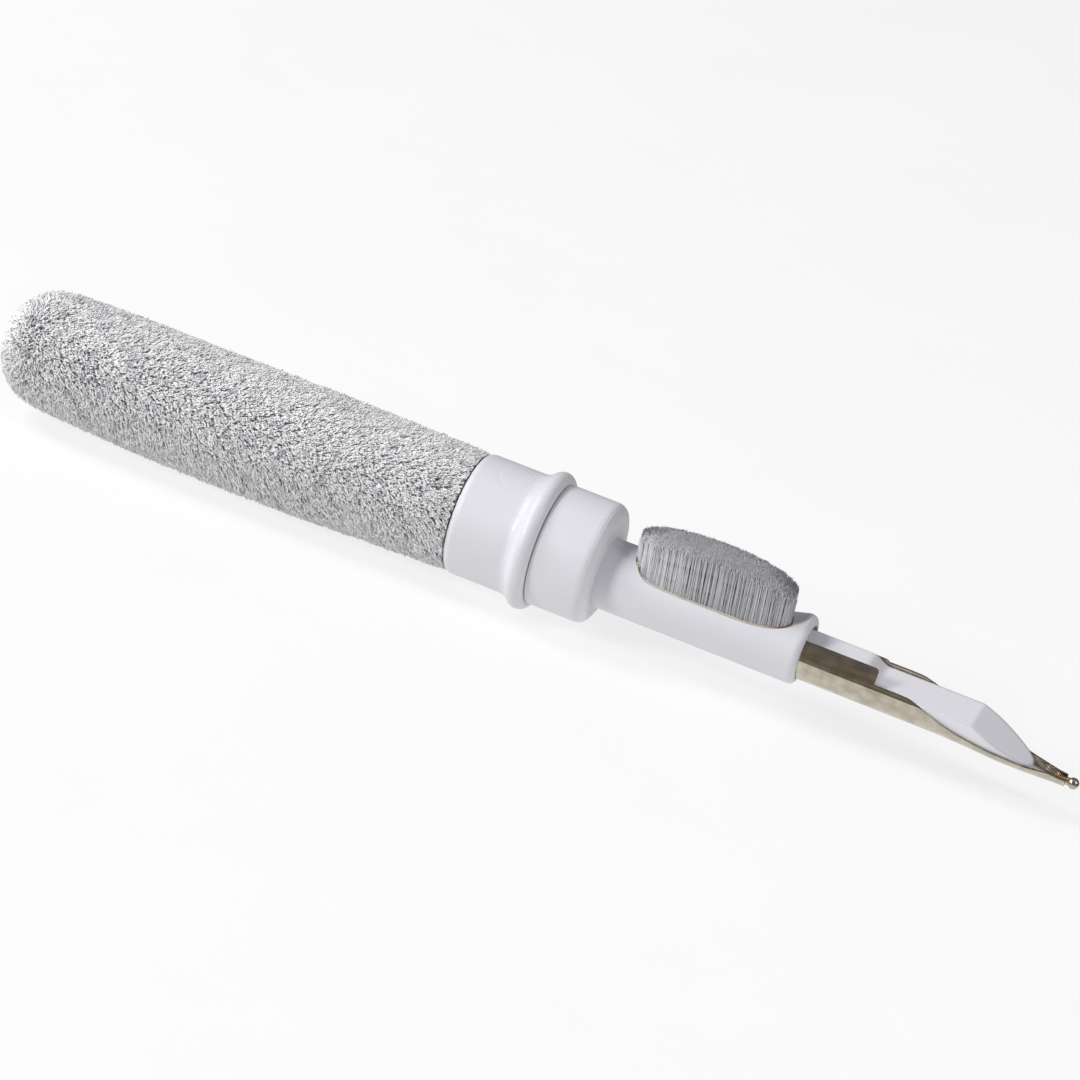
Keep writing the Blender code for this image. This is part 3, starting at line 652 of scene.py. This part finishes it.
def bristle_strands(made):
    """The tuft: bristles that lean back, gather a little into locks and end on a domed crown."""
    rng = np.random.default_rng(BRISTLE_SEED)
    x, y = in_tuft(BRISTLES, rng)
    x, y = relaxed(x, y)
    reach = rim_reach(x, y)
    hub_x, hub_y = in_tuft(LOCKS, rng)
    hubs = np.stack([hub_x, hub_y, np.zeros(LOCKS)], axis=1)
    flat = np.stack([x, y, np.zeros(BRISTLES)], axis=1)
    hub_of = nearest(flat, hubs)
    pull = hubs[hub_of] - flat

    crown = TUFT_HIGH.z - CROWN_R + np.sqrt(CROWN_R**2 - x**2)
    crown -= RIM_DROP * np.clip((reach - RIM_START) / RIM_WIDTH, 0, 1) ** RIM_POWER
    uneven = CROWN_UNEVEN + RIM_UNEVEN * np.clip((reach - RIM_UNEVEN_START) / RIM_UNEVEN_WIDTH, 0, 1)
    crown += rng.normal(0, 1, BRISTLES) * uneven * MM
    crown = np.minimum(crown, TUFT_HIGH.z + CROWN_SLACK)
    splay = rng.normal(0, SPLAY, (BRISTLES, 2)) * MM
    low = TUFT_LOW.z
    centres = []
    for share in BRISTLE_STATIONS:
        z = low + (crown - low) * share
        spread = 1 + (TUFT_SPREAD - 1) * share
        stretch = 1 + (TUFT_STRETCH - 1) * share
        gather = LOCK_PULL * math.sin(math.pi * (share * LOCK_REACH))
        px = (x + pull[:, 0] * gather) * stretch + splay[:, 0] * share
        py = (y + pull[:, 1] * gather) * spread + splay[:, 1] * share
        px = px + BRUSH_X - TUFT_LEAN * (z - LEAN_Z)
        centres.append(np.stack([px, py, z], axis=1))
    centres = np.stack(centres, axis=1)
    lock_tone = rng.uniform(0, 1, LOCKS)
    tones = np.stack([lock_tone[hub_of], rng.uniform(0, 1, BRISTLES)], axis=1)
    rim = np.clip(reach, 0, 1) ** RIM_FACING_POWER
    facing = np.stack([x / TUFT_HALF_LENGTH**2, y / TUFT_HALF_WIDTH**2, np.zeros(BRISTLES)], axis=1)
    facing = unit(facing) * rim[:, None]
    facing[:, 2] = 1 - rim + UPWARD_FACING
    return strand_mesh("bristle_strands", centres, BRISTLE_RADII, BRISTLE_POINT, tones, unit(facing), made)


# ---- Stage ----------------------------------------------------------------------------------

RING_X = COLLAR_HIGH.x - 1.15 * MM
FLOOR_HALF = 3.0
FLOOR_GAP = 0.02 * MM
FLOOR_GLOW = 1.03
GLOW_SHARE = 0.74             # of the floor's own light in what the camera sees
FLOOR_THROWN = (0.86, 0.86, 0.865)
FLOOR_MIRRORED = (0.93, 0.93, 0.93)
FLOOR_FAR = (0.15, 0.135, 0.10)
FAR_STEEP = 0.30              # a reflection flatter than this sees only the dark room
NEAR_STEEP = 0.42
BACKDROP = (0.94, 0.94, 0.95)
VIEW_TILT = math.radians(23)
VIEW_TURN = 0.225
VIEW_DISTANCE = 440 * MM
VIEW_SLOPE = math.radians(21.4)
VIEW_SCALE = 9.73 / MM        # pixels per metre at the ring, in a frame of FRAME_SIDE
FRAME_SIDE = 1080


def photo_camera():
    """The camera fitted to the photo's outline."""
    across = math.sqrt(1 - VIEW_TURN**2)
    back = Vector((VIEW_TURN, -across * math.cos(VIEW_TILT), across * math.sin(VIEW_TILT)))
    level = (Vector((1, 0, 0)) - back * back.x).normalized()
    rise = back.cross(level)
    right = level * math.cos(VIEW_SLOPE) + rise * math.sin(VIEW_SLOPE)
    up = rise * math.cos(VIEW_SLOPE) - level * math.sin(VIEW_SLOPE)
    data = bpy.data.cameras.new("camera")
    data.angle = 2 * math.atan(FRAME_SIDE / 2 / (VIEW_SCALE * VIEW_DISTANCE))
    data.clip_start = 0.01
    camera = bpy.data.objects.new("camera", data)
    turn = Matrix((right, up, back)).transposed().to_4x4()
    camera.matrix_world = Matrix.Translation(Vector((RING_X, 0, 0)) + back * VIEW_DISTANCE) @ turn
    bpy.context.scene.collection.objects.link(camera)
    bpy.context.scene.camera = camera


def area_light(name, azimuth, elevation, distance, size, power, colour):
    """A square lamp that faces the pen, azimuth 0 being +X and 90 being +Y."""
    a, e = math.radians(azimuth), math.radians(elevation)
    way = Vector((math.cos(a) * math.cos(e), math.sin(a) * math.cos(e), math.sin(e)))
    data = bpy.data.lights.new(name, "AREA")
    data.size = size
    data.energy = power
    data.color = colour
    lamp = bpy.data.objects.new(name, data)
    lamp.location = way * distance
    lamp.rotation_euler = way.to_track_quat("Z", "Y").to_euler()
    bpy.context.scene.collection.objects.link(lamp)


def studio_world():
    """A soft white surround.  Reflections see a darker room below a bright overhead."""
    world = bpy.data.worlds.new("studio")
    world.use_nodes = True
    bpy.context.scene.world = world
    tree = world.node_tree
    background = tree.nodes["Background"]
    way = add(tree, "ShaderNodeTexCoord").outputs["Generated"]
    parts = add(tree, "ShaderNodeSeparateXYZ", {"Vector": way})
    soft = ramp(tree, remap(tree, parts.outputs["X"], -1.0, 1.0, 0.0, 1.0), [
        (0.0, (0.34, 0.34, 0.355)),
        (0.5, (0.24, 0.24, 0.255)),
        (1.0, (0.30, 0.30, 0.31)),
    ])
    room = ramp(tree, parts.outputs["Z"], [
        (0.0, FLOOR_FAR),
        (0.45, (0.20, 0.155, 0.145)),
        (0.80, (0.125, 0.105, 0.115)),
        (0.93, (0.11, 0.10, 0.115)),
        (0.985, (0.75, 0.75, 0.78)),
    ])
    path = add(tree, "ShaderNodeLightPath").outputs
    seen = mix(tree, path["Is Glossy Ray"], soft, room)
    seen = mix(tree, path["Is Camera Ray"], seen, BACKDROP)
    set_inputs(tree, background, {"Color": seen, "Strength": 1.0})


def floor_finish():
    """Pale paper, partly lit from below, as on a light table, so that its shadows stay faint.

    Only the camera sees it at full brightness.  It throws less light back on the pen, and a
    reflection sees it only near the pen, with the dark room beyond.
    """
    made, tree, shader = new_material("pale_floor")
    tree.nodes.remove(shader)
    output = tree.nodes["Material Output"]
    path = add(tree, "ShaderNodeLightPath").outputs
    cloud = noise(tree, scale=60.0, detail=3.0)
    paper = ramp(tree, cloud, [(0.3, (0.955, 0.955, 0.955)), (0.7, (0.965, 0.965, 0.965))])
    scatter = add(tree, "ShaderNodeBsdfDiffuse", {"Color": paper}).outputs["BSDF"]
    glow = add(tree, "ShaderNodeEmission", {"Color": paper, "Strength": FLOOR_GLOW}).outputs["Emission"]
    seen = add(tree, "ShaderNodeMixShader", {0: GLOW_SHARE, 1: scatter, 2: glow}).outputs["Shader"]
    incoming = add(tree, "ShaderNodeNewGeometry").outputs["Incoming"]
    steep = add(tree, "ShaderNodeSeparateXYZ", {"Vector": incoming}).outputs["Z"]
    near = remap(tree, steep, FAR_STEEP, NEAR_STEEP, 0.0, 1.0, smooth=True)
    mirrored = mix(tree, near, FLOOR_FAR, FLOOR_MIRRORED)
    thrown = mix(tree, path["Is Glossy Ray"], FLOOR_THROWN, mirrored)
    other = add(tree, "ShaderNodeEmission", {"Color": thrown, "Strength": 1.0}).outputs["Emission"]
    mixed = add(tree, "ShaderNodeMixShader", {0: path["Is Camera Ray"], 1: other, 2: seen})
    tree.links.new(mixed.outputs["Shader"], output.inputs["Surface"])
    return made


def stage():
    """The floor, the surround, three lamps and the camera."""
    z = CAD_LOW.z - FLOOR_GAP
    corners = [(x * FLOOR_HALF, y * FLOOR_HALF, z) for x, y in ((-1, -1), (1, -1), (1, 1), (-1, 1))]
    mesh = bpy.data.meshes.new("floor")
    mesh.from_pydata(corners, [], [(0, 1, 2, 3)])
    mesh.materials.append(floor_finish())
    floor = bpy.data.objects.new("floor", mesh)
    bpy.context.scene.collection.objects.link(floor)
    studio_world()
    area_light("key", azimuth=225, elevation=24, distance=0.7, size=0.17, power=2.55,
               colour=(1.0, 0.99, 0.985))
    area_light("overhead", azimuth=186, elevation=41, distance=0.8, size=0.26, power=3.1,
               colour=(0.985, 0.985, 1.0))
    area_light("nose_fill", azimuth=345, elevation=38, distance=0.7, size=0.20, power=1.1,
               colour=(1.0, 0.985, 0.985))
    photo_camera()
    settings = bpy.context.scene.view_settings
    settings.view_transform = "Standard"
    settings.look = "None"


# ---- Pieces ---------------------------------------------------------------------------------

def wear(node, made):
    """Gives a CAD node its finished material."""
    for material_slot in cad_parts[node].material_slots:
        material_slot.material = made


def main():
    wear("collar_sleeve", moulded_white("moulded_collar", WHITE_LIGHT, WHITE_SHADE, WHITE_GLOSS, MARK_AT))
    wear("front_body", moulded_white("moulded_body", WHITE_LIGHT, WHITE_SHADE, WHITE_GLOSS))
    # Its material carries painted light: a white painted lighter than the body's.
    wear("nib_scraper", moulded_white(
        "moulded_scraper_painted_lighter", SCRAPER_BRIGHTENED_LIGHT, SCRAPER_BRIGHTENED_SHADE, SCRAPER_GLOSS, edge=SCRAPER_EDGE))
    wear("nib_shell", nib_steel("drawn_steel", STEEL_TINT, STEEL_DULL))
    wear("nib_ball", ball_with_neck_band("ball_steel", BALL_TINT, NECK_BAND_TINT))
    wear("glue_bead", amber_glue("amber_glue_line"))
    wear("core_rod", hidden_finish(
        "rod_plastic_worn", light=(0.86, 0.86, 0.84), dark=(0.80, 0.80, 0.78), scale=900, rough=0.45))
    wear("tape_wrap", hidden_finish(
        "tape_film", light=(0.80, 0.78, 0.70), dark=(0.74, 0.72, 0.64), scale=1500, rough=0.6))
    wear("foam_sleeve", hidden_finish(
        "open_foam", light=(0.76, 0.76, 0.74), dark=(0.50, 0.50, 0.49), scale=2500, rough=0.95))
    wear("brush_block", hidden_finish(
        "potting_resin", light=(0.66, 0.60, 0.46), dark=(0.50, 0.43, 0.30), scale=800, rough=0.35))

    backing = pile_backing(pile_ground("pile_ground"))
    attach(backing, BODY)
    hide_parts("pile_sleeve")
    for piece in pile_strands(heather_pile("heather_strands")):
        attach(piece, BODY)
    bristles = bristle_strands(grey_nylon("grey_nylon"))
    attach(bristles, BODY)
    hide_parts("bristle_tuft")
    stage()


main()
